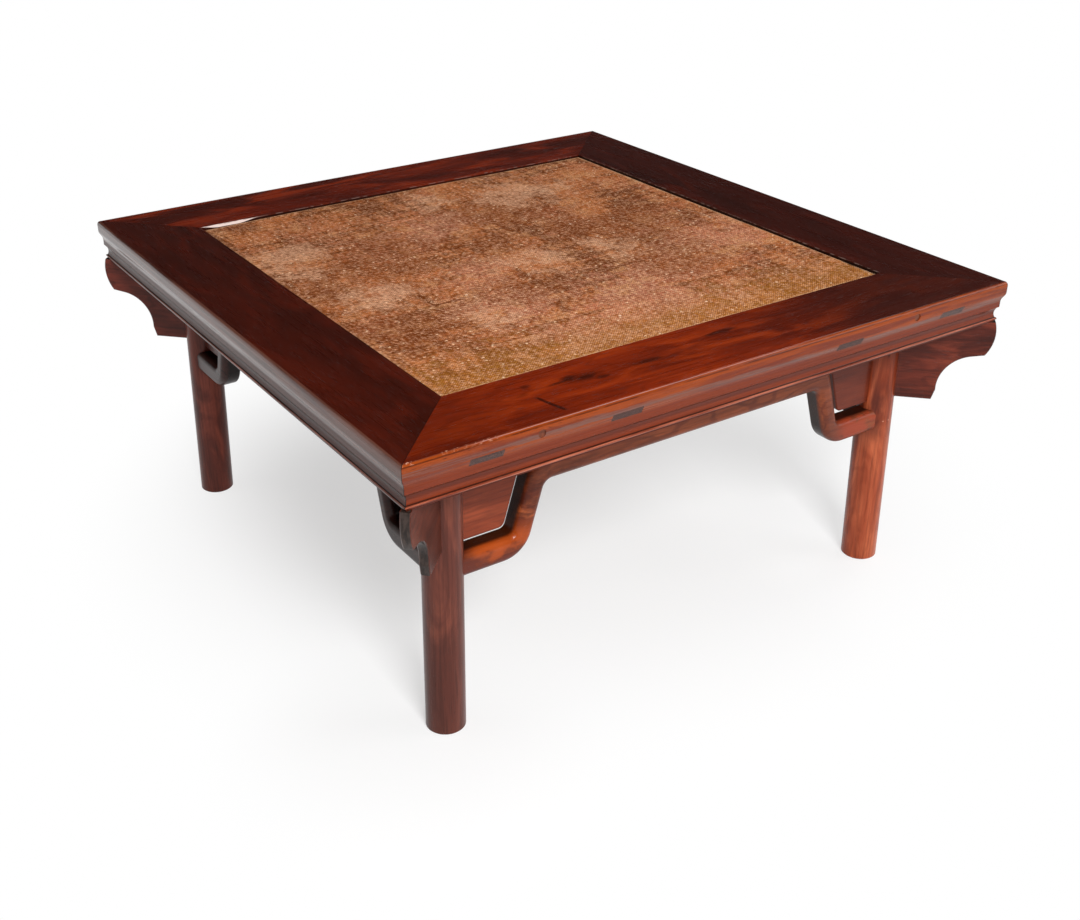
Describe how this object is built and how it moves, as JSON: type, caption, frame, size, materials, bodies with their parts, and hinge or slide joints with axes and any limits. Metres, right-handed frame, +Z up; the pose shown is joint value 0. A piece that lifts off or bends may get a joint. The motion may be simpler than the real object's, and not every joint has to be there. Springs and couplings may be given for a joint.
{
  "type": "kang table",
  "caption": "Low square hardwood kang table with an inset woven mat, round recessed legs and humpback stretchers.",
  "frame": {"origin": "middle of the table's footprint, on the floor", "axes": "+X along the front edge to the right, +Y from the front edge to the back, +Z up"},
  "size_m": [0.8804, 0.8804, 0.418],
  "materials": {
    "rosewood": "glossy clear lacquer over red-brown hardwood",
    "panel_wood": "plain stained wood, satin",
    "woven_cane": "fine soft woven cane, aged"
  },
  "bodies": {
    "root": {"frame_rail_front": "rosewood", "frame_rail_right": "rosewood", "frame_rail_back": "rosewood", "frame_rail_left": "rosewood", "edge_pegs": "rosewood", "leg_front_left": "rosewood", "leg_front_right": "rosewood", "leg_back_right": "rosewood", "leg_back_left": "rosewood", "apron_front": "rosewood", "apron_right": "rosewood", "apron_back": "rosewood", "apron_left": "rosewood", "corner_bracket_front_left": "rosewood", "corner_bracket_front_right": "rosewood", "corner_bracket_back_right": "rosewood", "corner_bracket_back_left": "rosewood", "humpback_stretcher_front": "rosewood", "humpback_stretcher_right": "rosewood", "humpback_stretcher_back": "rosewood", "humpback_stretcher_left": "rosewood", "panel_plank_1": "panel_wood", "panel_plank_2": "panel_wood", "panel_plank_3": "panel_wood", "batten_left": "panel_wood", "batten_right": "panel_wood", "woven_mat": "woven_cane"}
  },
  "joints": []
}
